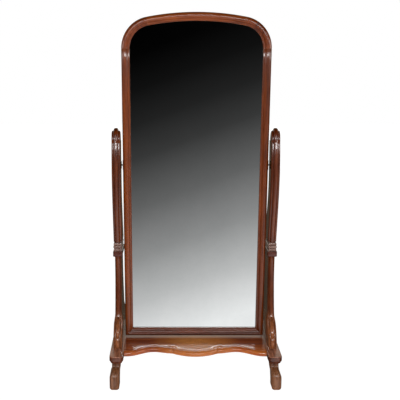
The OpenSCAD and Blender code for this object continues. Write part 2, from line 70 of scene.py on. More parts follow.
def add(tree, kind, links=None, **settings):
    """Adds a node, sets its fields and sockets, and links its inputs: socket name to (node, output)."""
    made = tree.nodes.new(kind)
    for name, value in settings.items():
        if hasattr(made, name):
            setattr(made, name, value)
        else:
            made.inputs[name.replace("_", " ")].default_value = value
    for name, source in (links or {}).items():
        made_input = made.inputs[name]
        tree.links.new(source[0].outputs[source[1]], made_input)
    return made


def new_material(name):
    """An empty node material and its tree."""
    made = bpy.data.materials.new(name)
    made.use_nodes = True
    made.node_tree.nodes.clear()
    return made, made.node_tree


def ramp(tree, source, stops, **settings):
    """A colour ramp over (position, hex colour) stops."""
    made = add(tree, "ShaderNodeValToRGB", {"Fac": source}, **settings)
    cells = made.color_ramp.elements
    while len(cells) < len(stops):
        cells.new(0.5)
    for cell, (at, colour) in zip(cells, stops):
        cell.position = at
        cell.color = linear(colour)
    return made


def spread_over(tree, source, start, end):
    """How far a value lies from start, 0, to end, 1."""
    made = add(tree, "ShaderNodeMapRange", {"Value": source})
    made.inputs["From Min"].default_value = start
    made.inputs["From Max"].default_value = end
    return made


def mesh_object(name, points, faces):
    """A new mesh object with outward normals."""
    mesh = bpy.data.meshes.new(name)
    mesh.from_pydata([tuple(p) for p in points], [], faces)
    work = bmesh.new()
    work.from_mesh(mesh)
    bmesh.ops.remove_doubles(work, verts=work.verts, dist=1e-6)
    bmesh.ops.recalc_face_normals(work, faces=work.faces)
    work.to_mesh(mesh)
    work.free()
    made = bpy.data.objects.new(name, mesh)
    scene.collection.objects.link(made)
    return made


world = bpy.data.worlds.new("studio")
scene.world = world
world.use_nodes = True
world.node_tree.nodes["Background"].inputs["Color"].default_value = (1, 1, 1, 1)
world.node_tree.nodes["Background"].inputs["Strength"].default_value = 1.0

# Light-box floor: matt white and lit a little from below. Reflections see the walls in its place.
floor_size = 12.0
floor = mesh_object("floor", [(x * floor_size, y * floor_size, 0) for x, y in
                              ((-1, -1), (1, -1), (1, 1), (-1, 1))], [(0, 1, 2, 3)])
paper, tree = new_material("white_light_box")
surface = add(tree, "ShaderNodeBsdfPrincipled", Base_Color=(0.12, 0.12, 0.12, 1), Roughness=0.9)
surface.inputs["Emission Color"].default_value = (1, 1, 1, 1)
surface.inputs["Emission Strength"].default_value = 0.985
add(tree, "ShaderNodeOutputMaterial", {"Surface": (surface, "BSDF")})
floor.data.materials.append(paper)
floor.visible_glossy = False

# Graded screen, 4 m in front of the glass: black above, white low down, lighter to the right.
screen_y = -4.0
screen_low, screen_high = -1.6, 2.1
screen = mesh_object("screen", [(-5, screen_y, -4), (5, screen_y, -4), (5, screen_y, 5), (-5, screen_y, 5)],
                     [(0, 1, 2, 3)])
graded, tree = new_material("graded_screen")
place = add(tree, "ShaderNodeTexCoord")
apart = add(tree, "ShaderNodeSeparateXYZ", {"Vector": (place, "Object")})
tilt = add(tree, "ShaderNodeMath", {0: (apart, "X")}, operation="MULTIPLY")
tilt.inputs[1].default_value = -0.38
height = add(tree, "ShaderNodeMath", {0: (apart, "Z"), 1: (tilt, 0)}, operation="ADD")
share = spread_over(tree, (height, 0), screen_high, screen_low)
shade = ramp(tree, (share, "Result"),
             [(0.0, "#000000"), (0.1, "#030303"), (0.2, "#111111"), (0.3, "#232323"), (0.4, "#3a3a3a"),
              (0.55, "#666666"), (0.7, "#939393"), (0.85, "#c4c4c4"), (1.0, "#f4f4f4")])
glow = add(tree, "ShaderNodeEmission", {"Color": (shade, "Color")})
add(tree, "ShaderNodeOutputMaterial", {"Surface": (glow, "Emission")})
screen.data.materials.append(graded)


def only_in_reflections(item):
    """A studio card that polish and glass mirror, but that nothing else sees."""
    item.visible_camera = False
    item.visible_diffuse = False
    item.visible_shadow = False
    item.visible_transmission = False


only_in_reflections(screen)

# Walls, floor and ceiling of the room. Diffuse light finds a bright wall behind the piece and a
# dim one in front; polish mirrors a darker room, lit only across the middle of its back wall.
def room_box(name, half, across_stops, up_stops, seen_by):
    """A glowing box round the room: colours from front to back, times colours from low to high."""
    low, high = -3.0, 6.5
    box = mesh_object(name, [(x * half, y * half, z) for z in (low, high)
                             for x, y in ((-1, -1), (1, -1), (1, 1), (-1, 1))],
                      [(0, 1, 5, 4), (1, 2, 6, 5), (2, 3, 7, 6), (3, 0, 4, 7), (0, 1, 2, 3), (4, 5, 6, 7)])
    paint, tree = new_material(name)
    place = add(tree, "ShaderNodeTexCoord")
    apart = add(tree, "ShaderNodeSeparateXYZ", {"Vector": (place, "Object")})
    shades = []
    for axis, start, end, stops in (("Y", -half, half, across_stops), ("Z", low, high, up_stops)):
        share = spread_over(tree, (apart, axis), start, end)
        shades.append((ramp(tree, (share, "Result"), stops), "Color"))
    both = add(tree, "ShaderNodeMix", {"A": shades[0], "B": shades[1]}, data_type="RGBA",
               blend_type="MULTIPLY")
    both.inputs["Factor"].default_value = 1.0
    glow = add(tree, "ShaderNodeEmission", {"Color": (both, "Result")})
    add(tree, "ShaderNodeOutputMaterial", {"Surface": (glow, "Emission")})
    box.data.materials.append(paint)
    only_in_reflections(box)
    box.visible_diffuse = seen_by == "diffuse"
    box.visible_glossy = seen_by == "glossy"


room_box("studio_wall", 6.0,
         [(0.0, "#26221f"), (0.5, "#35302c"), (0.8, "#8a8580"), (1.0, "#d8d6d2")],
         [(0.0, "#ffffff"), (0.55, "#ffffff"), (0.9, "#4a4540")], "diffuse")
room_box("dim_studio_wall", 5.9,
         [(0.0, "#1c1916"), (0.7, "#37332c"), (1.0, "#d6cfc2")],
         [(0.0, "#4a463f"), (0.36, "#6a655c"), (0.46, "#ffffff"), (0.78, "#ffffff"), (0.9, "#3a362f")],
         "glossy")


def soft_light(name, at, aim, width, height, power):
    """A soft box aimed at a point."""
    lamp = bpy.data.lights.new(name, "AREA")
    lamp.shape = "RECTANGLE"
    lamp.size = width
    lamp.size_y = height
    lamp.energy = power
    made = bpy.data.objects.new(name, lamp)
    made.location = at
    made.rotation_mode = "QUATERNION"
    made.rotation_quaternion = (Vector(aim) - Vector(at)).to_track_quat("-Z", "Y")
    scene.collection.objects.link(made)
    return made


# A wide strip at head height is the main light; it lies just above what the glass mirrors. A weak
# light off the white floor fills from below, and two wide boxes high at the sides draw highlights.
soft_light("main_strip", (0.2, -3.2, 2.2), (0, 0, 0.6), 3.2, 0.3, 54)
soft_light("bounce_light", (0.0, -3.0, 0.4), (0, 0, 0.9), 3.0, 0.8, 24).visible_glossy = False
soft_light("left_light", (-3.2, -1.9, 1.95), (0, 0, 1.2), 2.2, 0.9, 19)
soft_light("right_light", (3.3, -1.7, 1.95), (0, 0, 1.2), 2.2, 0.9, 27)

# ---- Frame of the mirror ----------------------------------------------------------------
# Six lengths of solid mahogany worked with one moulding: a round bead outside, a broad swell,
# then a hollow down to the glass. Mitred at the foot, dowelled at the arch, French polished.

mm = 0.001
stile_lo, stile_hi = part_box("stile_right")
frame_half = stile_hi.x
frame_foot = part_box("bottom_rail")[0].z
spring = stile_hi.z
face_width = stile_hi.x - stile_lo.x
front_face = -stile_lo.y
shoulder_radius = 140 * mm
crown_radius = 1200 * mm
shoulder_centre = frame_half - shoulder_radius
crown_rise = math.sqrt((crown_radius - shoulder_radius) ** 2 - shoulder_centre ** 2)
crown_centre = spring - crown_rise
crown_angle = math.atan(shoulder_centre / crown_rise)

edge_round = 15 * mm
swell_fall = 5 * mm
hollow_width = 9 * mm
hollow_depth = 4 * mm
lip_width = 2 * mm
glass_lap = 10 * mm
back_lap = 8 * mm
back_thick = 10 * mm


def arc(cx, cy, rx, ry, start, end, count):
    """Points on an arc, angles in degrees."""
    return [(cx + rx * math.cos(math.radians(start + (end - start) * i / count)),
             cy + ry * math.sin(math.radians(start + (end - start) * i / count)))
            for i in range(count + 1)]


def frame_moulding():
    """The moulding as (inward from the outer edge, forward) points."""
    r = edge_round
    inner = face_width - lip_width
    swell = inner - hollow_width - r
    low = front_face - mm - swell_fall
    outline = [(1.2 * mm, -front_face), (0.3 * mm, 0.4 * mm - front_face), (0, 1.4 * mm - front_face)]
    outline += [(r - x, front_face - r + y) for x, y in arc(0, 0, r, r, 0, 86, 18)]
    outline += [(r - 0.2 * mm, front_face - 0.2 * mm), (r, front_face - 0.9 * mm),
                (r + 0.4 * mm, front_face - 1.1 * mm)]
    outline += [(r - x, low + y) for x, y in arc(0, 0, swell, swell_fall, 94, 158, 12)]
    outline += [(inner - x, low + y) for x, y in arc(0, 0, hollow_width, hollow_depth, -14, -90, 10)]
    outline += [(inner + 0.6 * mm, low - hollow_depth + 0.4 * mm),
                (inner + 1.2 * mm, low - hollow_depth + 0.5 * mm),
                (face_width - 0.3 * mm, low - hollow_depth + 0.1 * mm),
                (face_width, low - hollow_depth - 0.4 * mm), (face_width, 0)]
    wall = face_width - glass_lap
    outline += [(wall, 0), (wall, back_thick - front_face), (wall - back_lap, back_thick - front_face),
                (wall - back_lap, -front_face)]
    return outline


def inset(outline, depth):
    """The outline moved inward along its normals."""
    count = len(outline)
    area = sum(outline[i - 1][0] * outline[i][1] - outline[i][0] * outline[i - 1][1] for i in range(count))
    turn = 1 if area > 0 else -1
    moved = []
    for i in range(count):
        before, here, after = outline[i - 1], outline[i], outline[(i + 1) % count]
        along = Vector((after[0] - before[0], after[1] - before[1])).normalized()
        moved.append((here[0] - along.y * depth * turn, here[1] + along.x * depth * turn))
    return moved


def lofted(name, rows):
    """A closed skin over rings of points, with flat ends."""
    points = [p for row in rows for p in row]
    width = len(rows[0])
    faces = []
    for i in range(len(rows) - 1):
        for j in range(width):
            a, b = i * width + j, i * width + (j + 1) % width
            faces.append((a, b, b + width, a + width))
    faces.append(tuple(range(width)))
    faces.append(tuple(range((len(rows) - 1) * width, len(rows) * width)))
    return mesh_object(name, points, faces)


def finish_piece(piece, body, node, material, sharp=32):
    """Smooth shading with crisp arrises, the material, and the piece's place in the model."""
    piece.data.polygons.foreach_set("use_smooth", [True] * len(piece.data.polygons))
    piece.data.set_sharp_from_angle(angle=math.radians(sharp))
    piece.data.materials.append(material)
    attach(piece, body)
    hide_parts(node)
    return piece


def scaled_to(tree, source, low, high):
    """A value from 0 to 1 carried to the range from low to high."""
    made = add(tree, "ShaderNodeMapRange", {"Value": source})
    made.inputs["To Min"].default_value = low
    made.inputs["To Max"].default_value = high
    return made


def mahogany(name, dark, middle, light, grain, lie=0.0, ribbon=11 * mm, coat=0.14, flame_and_light_pool=None,
             wear_and_painted_light=None):
    """French-polished mahogany: ribbon stripe and pores along the grain, under a clear shellac film.
    grain is the axis that the stripe follows, and lie turns it about Y, in degrees. blaze is a flame
    figure with a painted pool of light laid over it, brightest at its centre (colour, centre, reach);
    rubbed is a paler zone by height, broken into patches: wear, and on some pieces painted light as
    well (colour, height where palest, height where unchanged)."""
    made, tree = new_material(name)
    place = add(tree, "ShaderNodeTexCoord")
    turned = add(tree, "ShaderNodeMapping", {"Vector": (place, "Object")},
                 Rotation=(0, math.radians(lie), 0))
    stretch = {"X": (0.07, 1, 1), "Y": (1, 0.07, 1), "Z": (1, 1, 0.07)}[grain]
    along = add(tree, "ShaderNodeMapping", {"Vector": (turned, "Vector")}, Scale=stretch)
    # ribbon stripe: bands about a centimetre wide where the grain interlocks
    stripe = add(tree, "ShaderNodeTexNoise", {"Vector": (along, "Vector")},
                 Scale=1 / ribbon, Detail=4.0, Roughness=0.6, Distortion=0.35)
    # slow change of tone: 2.2 patches in 280 mm of width, far longer along the grain
    drift = add(tree, "ShaderNodeTexNoise", {"Vector": (along, "Vector")},
                Scale=2.2 / (280 * mm), Detail=2.0, Roughness=0.5)
    # open pores: real ones are 0.2 mm wide, drawn 0.7 mm so that they show
    pores = add(tree, "ShaderNodeTexNoise", {"Vector": (along, "Vector")},
                Scale=1 / (0.7 * mm), Detail=2.0, Roughness=0.7)
    tone = add(tree, "ShaderNodeMix", {"A": (stripe, "Fac"), "B": (drift, "Fac")}, Factor=0.45)
    wood = ramp(tree, (tone, "Result"), [(0.34, dark), (0.5, middle), (0.66, light)])
    last = (wood, "Color")
    # flame figure, brightest at its centre; the bright patch also stands as a painted pool of light falling
    # on the piece
    if flame_and_light_pool:
        colour, centre, reach = flame_and_light_pool
        spread = add(tree, "ShaderNodeMapping", {"Vector": (place, "Object")},
                     Location=(-centre[0] / reach[0], -centre[1] / reach[1], 0),
                     Scale=(1 / reach[0], 1 / reach[1], 0))
        swirl = add(tree, "ShaderNodeTexNoise", {"Vector": (spread, "Vector")}, Scale=2.3, Detail=5.0,
                    Roughness=0.62, Distortion=1.4)
        away = add(tree, "ShaderNodeVectorMath", {0: (spread, "Vector")}, operation="LENGTH")
        near = spread_over(tree, (away, "Value"), 1.0, 0.1)
        flame = add(tree, "ShaderNodeMath", {0: (near, "Result"), 1: (swirl, "Fac")}, operation="MULTIPLY")
        flame_and_light_share = add(tree, "ShaderNodeMath", {0: (flame, 0)}, operation="MULTIPLY", use_clamp=True)
        flame_and_light_share.inputs[1].default_value = 1.7
        last_mix = add(tree, "ShaderNodeMix", {"Factor": (flame_and_light_share, 0), "A": last}, data_type="RGBA")
        last_mix.inputs["B"].default_value = linear(colour)
        last = (last_mix, "Result")
    # a paler zone by height, broken into patches: wear, and on some pieces a painted highlight or painted
    # light on a top face as well
    if wear_and_painted_light:
        colour, palest_at, unchanged_at = wear_and_painted_light
        up = add(tree, "ShaderNodeSeparateXYZ", {"Vector": (place, "Object")})
        near = spread_over(tree, (up, "Z"), unchanged_at, palest_at)
        patch_noise = add(tree, "ShaderNodeTexNoise", {"Vector": (along, "Vector")}, Scale=160.0, Detail=3.0)
        patches = spread_over(tree, (patch_noise, "Fac"), 0.25, 0.6)
        pale_share = add(tree, "ShaderNodeMath", {0: (near, "Result"), 1: (patches, "Result")}, operation="MULTIPLY")
        pale = add(tree, "ShaderNodeMix", {"Factor": (pale_share, 0), "A": last}, data_type="RGBA")
        pale.inputs["B"].default_value = linear(colour)
        last = (pale, "Result")
    pore_mark = ramp(tree, (pores, "Fac"), [(0.36, "#7a7a7a"), (0.46, "#ffffff")])
    pored = add(tree, "ShaderNodeMix", {"A": last, "B": (pore_mark, "Color")}, data_type="RGBA",
                blend_type="MULTIPLY")
    pored.inputs["Factor"].default_value = 0.55
    # the colour is darkened in the quirks and hollows, and the polish wears thin and pale on the arrises
    shape = add(tree, "ShaderNodeNewGeometry")
    hollow_mark = ramp(tree, (shape, "Pointiness"), [(0.44, "#3a2a22"), (0.495, "#ffffff")])
    darkened = add(tree, "ShaderNodeMix", {"A": (pored, "Result"), "B": (hollow_mark, "Color")},
                   data_type="RGBA", blend_type="MULTIPLY")
    darkened.inputs["Factor"].default_value = 0.45
    edge_mark = spread_over(tree, (shape, "Pointiness"), 0.53, 0.62)
    patchy = add(tree, "ShaderNodeTexNoise", {"Vector": (place, "Object")}, Scale=45.0, Detail=3.0)
    worn_share = add(tree, "ShaderNodeMath", {0: (edge_mark, "Result"), 1: (patchy, "Fac")},
                     operation="MULTIPLY")
    worn = add(tree, "ShaderNodeMix", {"Factor": (worn_share, 0), "A": (darkened, "Result")},
               data_type="RGBA")
    worn.inputs["B"].default_value = linear("#96562c")
    rough = scaled_to(tree, (patchy, "Fac"), 0.3, 0.46)
    # hand polishing leaves the film very slightly uneven; the pores print through it
    waves = add(tree, "ShaderNodeTexNoise", {"Vector": (place, "Object")}, Scale=28.0, Detail=1.0)
    relief = add(tree, "ShaderNodeMix", {"A": (waves, "Fac"), "B": (pores, "Fac")}, Factor=0.25)
    bump = add(tree, "ShaderNodeBump", {"Height": (relief, "Result")}, Strength=0.09, Distance=0.6 * mm)
    surface = add(tree, "ShaderNodeBsdfPrincipled",
                  {"Base Color": (worn, "Result"), "Roughness": (rough, "Result"),
                   "Normal": (bump, "Normal"), "Coat Normal": (bump, "Normal")})
    surface.inputs["IOR"].default_value = 1.5
    surface.inputs["Specular IOR Level"].default_value = 0.2
    surface.inputs["Coat Weight"].default_value = 1.0
    surface.inputs["Coat Roughness"].default_value = coat
    surface.inputs["Coat IOR"].default_value = 1.52
    add(tree, "ShaderNodeOutputMaterial", {"Surface": (surface, "BSDF")})
    return made


upright_grain = mahogany("polished_mahogany_stiles", "#3d1504", "#642a0a", "#843d11", "Z")
level_grain = mahogany("polished_mahogany_rail", "#3f1604", "#662a0a", "#863c11", "X")
crown_grain = mahogany("polished_mahogany_crown", "#431804", "#74320b", "#964814", "X")
shoulder_tones = ("#431604", "#6e2e0b", "#8e4213")
left_shoulder_grain = mahogany("polished_mahogany_left_shoulder", *shoulder_tones, "Z", lie=40)
right_shoulder_grain = mahogany("polished_mahogany_right_shoulder", *shoulder_tones, "Z", lie=-40)

moulding = frame_moulding()
ease = 0.9 * mm
eased = inset(moulding, ease)
steps_along = [0.0, 0.0014] + [i / 28 for i in range(1, 28)] + [0.9986, 1.0]


def member(name, place_at, node, material):
    """A length of the frame's moulding. place_at(share, inward, forward) gives a point."""
    rows = []
    for share in steps_along:
        section = eased if share in (0.0, 1.0) else moulding
        rows.append([place_at(share, u, f) for u, f in section])
    return finish_piece(lofted(name, rows), "mirror_frame", node, material)


for side, word in ((-1, "left"), (1, "right")):
    member(f"moulded_stile_{word}",
           lambda t, u, f: (side * (frame_half - u), -f, frame_foot + u + (spring - frame_foot - u) * t),
           f"stile_{word}", upright_grain)
    turn = math.pi / 2 - crown_angle
    member(f"moulded_shoulder_{word}",
           lambda t, u, f: (side * (shoulder_centre + (shoulder_radius - u) * math.cos(turn * t)), -f,
                            spring + (shoulder_radius - u) * math.sin(turn * t)),
           f"shoulder_{word}", left_shoulder_grain if side < 0 else right_shoulder_grain)
member("moulded_crown_rail",
       lambda t, u, f: ((crown_radius - u) * math.sin(crown_angle * (2 * t - 1)), -f,
                        crown_centre + (crown_radius - u) * math.cos(crown_angle * (2 * t - 1))),
       "crown_rail", crown_grain)
member("moulded_bottom_rail",
       lambda t, u, f: ((frame_half - u) * (2 * t - 1), -f, frame_foot + u),
       "bottom_rail", level_grain)

# ---- Looking glass ----------------------------------------------------------------------
# One sheet of silvered plate glass in the rebate, held by softwood wedges round its edge.
# The silver gives a true mirror; old plate is a touch grey and a little soft at the rim.

silvered, tree = new_material("silvered_plate_glass")
place = add(tree, "ShaderNodeTexCoord")
haze = add(tree, "ShaderNodeTexNoise", {"Vector": (place, "Object")}, Scale=6.0, Detail=6.0, Roughness=0.7)
tint = ramp(tree, (haze, "Fac"), [(0.3, "#eef1f1"), (0.7, "#f6f8f8")])
soft = scaled_to(tree, (haze, "Fac"), 0.012, 0.03)
surface = add(tree, "ShaderNodeBsdfPrincipled",
              {"Base Color": (tint, "Color"), "Roughness": (soft, "Result")}, Metallic=1.0)
add(tree, "ShaderNodeOutputMaterial", {"Surface": (surface, "BSDF")})


def dress(material, *nodes):
    """Gives carried-over CAD pieces their material."""
    for name in nodes:
        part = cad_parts[name]
        part.data.materials.clear()
        part.data.materials.append(material)


dress(silvered, "mirror_plate")


def bare_wood(name, dark, light, grain_width):
    """Unpolished timber: growth lines across the stretched grain, matt."""
    made, tree = new_material(name)
    place = add(tree, "ShaderNodeTexCoord")
    along = add(tree, "ShaderNodeMapping", {"Vector": (place, "Object")}, Scale=(1, 1, 0.12))
    lines = add(tree, "ShaderNodeTexNoise", {"Vector": (along, "Vector")}, Scale=1 / grain_width,
                Detail=4.0, Roughness=0.65)
    wood = ramp(tree, (lines, "Fac"), [(0.35, dark), (0.65, light)])
    bump = add(tree, "ShaderNodeBump", {"Height": (lines, "Fac")}, Strength=0.3, Distance=0.2 * mm)
    surface = add(tree, "ShaderNodeBsdfPrincipled",
                  {"Base Color": (wood, "Color"), "Normal": (bump, "Normal")}, Roughness=0.7)
    add(tree, "ShaderNodeOutputMaterial", {"Surface": (surface, "BSDF")})
    return made


sawn_pine = bare_wood("sawn_pine", "#a5814f", "#cfae7c", 3 * mm)
dress(sawn_pine, "plate_wedges")


# ---- Framed back ------------------------------------------------------------------------
# A light frame of plain mahogany with two thin panels, dropped into the rebate behind the
# glass and held with eleven countersunk iron screws. Thinly polished, so it is almost matt.


def soften(width, *nodes):
    """Breaks the arrises of carried-over CAD pieces."""
    for name in nodes:
        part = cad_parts[name]
        bevel = part.modifiers.new("eased_arris", "BEVEL")
        bevel.width = width
        bevel.segments = 2
        bevel.limit_method = "ANGLE"
        bevel.angle_limit = math.radians(40)


back_upright = mahogany("plain_mahogany_back_stiles", "#43210f", "#5c3119", "#6f3f24", "Z", coat=0.4)
back_level = mahogany("plain_mahogany_back_rails", "#43210f", "#5a3018", "#6d3d23", "X", coat=0.4)
back_panels = mahogany("plain_mahogany_back_panels", "#4a2612", "#64371d", "#784629", "Z", ribbon=24 * mm,
                       coat=0.45)
dress(back_upright, "back_stile_left", "back_stile_right")
dress(back_level, "back_top_rail", "back_mid_rail", "back_bottom_rail")
dress(back_panels, "back_panel_upper", "back_panel_lower")
soften(1.2 * mm, "back_stile_left", "back_stile_right", "back_top_rail", "back_mid_rail", "back_bottom_rail")


def metal(name, clean, dull, grain, rough_low, rough_high):
    """Bare metal: bright where it is handled, darker where it has tarnished."""
    made, tree = new_material(name)
    place = add(tree, "ShaderNodeTexCoord")
    cloud = add(tree, "ShaderNodeTexNoise", {"Vector": (place, "Object")}, Scale=1 / grain, Detail=6.0,
                Roughness=0.65)
    colour = ramp(tree, (cloud, "Fac"), [(0.38, dull), (0.62, clean)])
    rough = scaled_to(tree, (cloud, "Fac"), rough_high, rough_low)
    bump = add(tree, "ShaderNodeBump", {"Height": (cloud, "Fac")}, Strength=0.2, Distance=0.1 * mm)
    surface = add(tree, "ShaderNodeBsdfPrincipled",
                  {"Base Color": (colour, "Color"), "Roughness": (rough, "Result"),
                   "Normal": (bump, "Normal")}, Metallic=1.0)
    add(tree, "ShaderNodeOutputMaterial", {"Surface": (surface, "BSDF")})
    return made


dull_iron = metal("dull_iron_screws", "#8b857c", "#3d3833", 2.5 * mm, 0.38, 0.62)
dress(dull_iron, "back_screws", "frame_plate_screws", "socket_plate_screws")

# ---- Pivots -----------------------------------------------------------------------------
# Cast brass, toned nearly black with age: a plate let into each side of the frame carries a
# pin, which turns in an oval plate on the upright. A leather washer between them gives the grip.

aged_brass = metal("aged_brass", "#5a4528", "#211912", 6 * mm, 0.34, 0.6)
dress(aged_brass, "frame_plate_left", "frame_plate_right", "pivot_pin_left", "pivot_pin_right",
      "socket_plate_left", "socket_plate_right")
soften(0.6 * mm, "frame_plate_left", "frame_plate_right", "socket_plate_left", "socket_plate_right")

oiled_leather, tree = new_material("oiled_leather")
place = add(tree, "ShaderNodeTexCoord")
cells = add(tree, "ShaderNodeTexVoronoi", {"Vector": (place, "Object")}, Scale=1 / (0.9 * mm))
hide = ramp(tree, (cells, "Distance"), [(0.1, "#2b1c12"), (0.6, "#4a3222")])
bump = add(tree, "ShaderNodeBump", {"Height": (cells, "Distance")}, Strength=0.4, Distance=0.1 * mm)
surface = add(tree, "ShaderNodeBsdfPrincipled", {"Base Color": (hide, "Color"), "Normal": (bump, "Normal")},
              Roughness=0.6)
add(tree, "ShaderNodeOutputMaterial", {"Surface": (surface, "BSDF")})
dress(oiled_leather, "friction_washer_left", "friction_washer_right")

# ---- Scrolled uprights ------------------------------------------------------------------
# Each is sawn from 40 mm mahogany and dowelled end to end: a lower scroll with a carved knee, a
# collar with three rings, an upper scroll and a domed cap. A round rib runs up the front edge.

upright_at = (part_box("upper_scroll_right")[0].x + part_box("upper_scroll_right")[1].x) / 2
upright_tones = ("#330f03", "#542108", "#6e320e")
shaft_polish = mahogany("polished_mahogany_uprights", *upright_tones, "Z", coat=0.13)
# The knees are painted paler in patches up to the top of the carving: partly rubbed wear, partly a painted
# highlight on the carving.
knee_polish = mahogany("polished_mahogany_knees", *upright_tones, "Z", coat=0.13,
                       wear_and_painted_light=("#9a5c36", 0.27, 0.33))
rib_depth = 12 * mm
rib_half = 11 * mm
quirk_width, quirk_depth = 1.2 * mm, 0.9 * mm
shoulder_fall = 6.5 * mm


def section(node, z):
    """Where a packed board is cut at height z: its front and back y."""
    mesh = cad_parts[node].data
    found = []
    for edge in mesh.edges:
        one, two = (mesh.vertices[i].co for i in edge.vertices)
        if (one.z - z) * (two.z - z) <= 0 and abs(one.z - two.z) > 1e-9:
            found.append(one.y + (two.y - one.y) * (z - one.z) / (two.z - one.z))
    return min(found), max(found)


def outline_of(node, step=4 * mm):
    """Front and back edges of a packed board seen from the side: two functions of height."""
    lo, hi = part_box(node)
    count = int((hi.z - lo.z) / step)
    levels = [lo.z + 0.2 * mm + (hi.z - lo.z - 0.4 * mm) * i / count for i in range(count + 1)]
    cuts = [section(node, z) for z in levels]

    def reader(which):
        def at(z):
            place = min(max((z - levels[0]) / (levels[-1] - levels[0]) * count, 0), count - 1e-6)
            low = int(place)
            return cuts[low][which] + (cuts[low + 1][which] - cuts[low][which]) * (place - low)
        return at
    return reader(0), reader(1)


def rib_depth_at(x, half, rib, depth):
    """How far the front surface lies behind the crest of the rib, at x across the board."""
    off = abs(x)
    if off < rib:
        return depth * (1 - (1 - (off / rib) ** 2.5) ** 0.4)
    if off < rib + quirk_width:
        return depth + quirk_depth
    room = half - rib - quirk_width
    turn = min((off - rib - quirk_width) / room, 1)
    return depth + shoulder_fall * (1 - math.sqrt(max(1 - turn ** 2.2, 0)))


across = sorted({round(s * v, 4) for s in (-1, 1) for v in
                 (0, 0.07, 0.14, 0.21, 0.28, 0.35, 0.42, 0.48, 0.53, 0.57, 0.595, 0.611, 0.63, 0.66, 0.68,
                  0.72, 0.78, 0.84, 0.9, 0.94, 0.97, 0.99, 1.0)})


def board_rows(levels, front, back, half_at, depth_at):
    """Level rings round a shaped board: moulded front, flat sides, eased back."""
    rows = []
    for z in levels:
        half = half_at(z)
        rise = (front(z + mm) - front(z - mm)) / (2 * mm)
        stretch = math.sqrt(1 + min(abs(rise), 1.2) ** 2)
        ring = [(half * s, front(z) + depth_at(half * s, z, half) * stretch) for s in across]
        rear = back(z)
        edge = 3.5 * mm
        ring += [(half, rear - edge), (half - 0.3 * edge, rear - 0.3 * edge), (half - edge, rear)]
        ring += [(edge - half, rear), (0.3 * edge - half, rear - 0.3 * edge), (-half, rear - edge)]
        rows.append([(x, y, z) for x, y in ring])
    return rows


def both_sides(name, rows_right, node, material, sharp=32, at=None):
    """The same piece on the right and, mirrored, on the left."""
    for side, word in ((-1, "left"), (1, "right")):
        rows = [[(side * ((at or upright_at) + x), y, z) for x, y, z in row] for row in rows_right]
        finish_piece(lofted(f"{name}_{word}", rows), "stand", f"{node}_{word}", material,
                     sharp)


def levels_between(low, high, step):
    """Evenly spaced heights, with a small easing step at each end."""
    count = max(int((high - low) / step), 2)
    return [low, low + 0.5 * mm] + [low + (high - low) * i / count for i in range(1, count)] + \
           [high - 0.5 * mm, high]


upper_lo, upper_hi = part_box("upper_scroll_right")
upper_front, upper_back = outline_of("upper_scroll_right")
upper_half = (upper_hi.x - upper_lo.x) / 2
both_sides("carved_upper_scroll",
           board_rows(levels_between(upper_lo.z, upper_hi.z, 9 * mm), upper_front, upper_back,
                      lambda z: upper_half,
                      lambda x, z, half: rib_depth_at(x, half, rib_half, rib_depth)),
           "upper_scroll", shaft_polish)

# Lower scroll: thinner above, swelling to the knee, whose face is carved with two lobes in a
# pointed arch between raised rims.
lower_lo, lower_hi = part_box("lower_scroll_right")
lower_front, lower_back = outline_of("lower_scroll_right")
shaft_half = 15.5 * mm
knee_half = (lower_hi.x - lower_lo.x) / 2
knee_crown = 133 * mm
lobe_half = 10.5 * mm
channel = 11.5 * mm
rim_off, rim_half = 16 * mm, 3.4 * mm
stop_half = 9 * mm


def smooth(low, high, value):
    """0 below low, 1 above high, eased between."""
    t = min(max((value - low) / (high - low), 0), 1)
    return t * t * (3 - 2 * t)


def lower_half(z):
    """Half the width of the lower scroll: slim in the shaft, full at the knee, drawn in at the foot."""
    up = z - lower_lo.z
    return shaft_half + (knee_half - shaft_half) * smooth(knee_crown + 12 * mm, knee_crown - 34 * mm, up) \
        - 1.5 * mm * smooth(20 * mm, 2 * mm, up)


def lobe(up, centre, length):
    """Crest of a carved lobe, 1 in the middle and 0 at its ends."""
    t = (up - centre) / length
    return math.sqrt(max(1 - t * t, 0))


def lower_depth(x, z, half):
    """How deep the face is cut at x across and z up: the shaft's rib above, the lobed knee below."""
    shaft = rib_depth_at(x, half, lobe_half, 9 * mm)
    off, up = abs(x), z - lower_lo.z
    below = min(max((knee_crown - up) / (38 * mm), 0), 1)
    reach = 13.5 * mm * math.sin(below * math.pi / 2) ** 0.85 - off
    inside = smooth(-0.5 * mm, 2 * mm, reach) if up < knee_crown else 0
    crest = max(lobe(up, 90 * mm, 34 * mm), lobe(up, 30 * mm, 25 * mm))
    column = lobe_half * (0.82 + 0.18 * crest)
    core = 2 * mm + 6 * mm * (1 - crest) + 7.5 * mm * (1 - math.sqrt(max(1 - (off / column) ** 2, 0))) \
        if off < column else 12 * mm
    rim = 4 * mm + 6 * mm * (abs(off - rim_off) / rim_half) ** 2
    knee = min(core, channel, rim if off > 12.5 * mm else channel)
    lower_part = smooth(knee_crown + 4 * mm, knee_crown - 40 * mm, up)
    outside = shaft * (1 - lower_part) + min(max(rim, 4 * mm), 13 * mm) * lower_part
    # a rolled edge follows the pointed arch
    roll = 2.2 * mm * math.exp(-((reach + 1.5 * mm) / (2.2 * mm)) ** 2) * (below > 0) * (1 - lower_part * 0.6)
    # pointed stop where the rib meets the collar
    stop = smooth(30 * mm - 1.5 * off, 8 * mm, lower_hi.z - z)
    return (outside * (1 - inside) + knee * inside - roll) + 3.5 * mm * stop * smooth(0.0, stop_half, off) \
        - 1.5 * mm * stop * (off < stop_half)


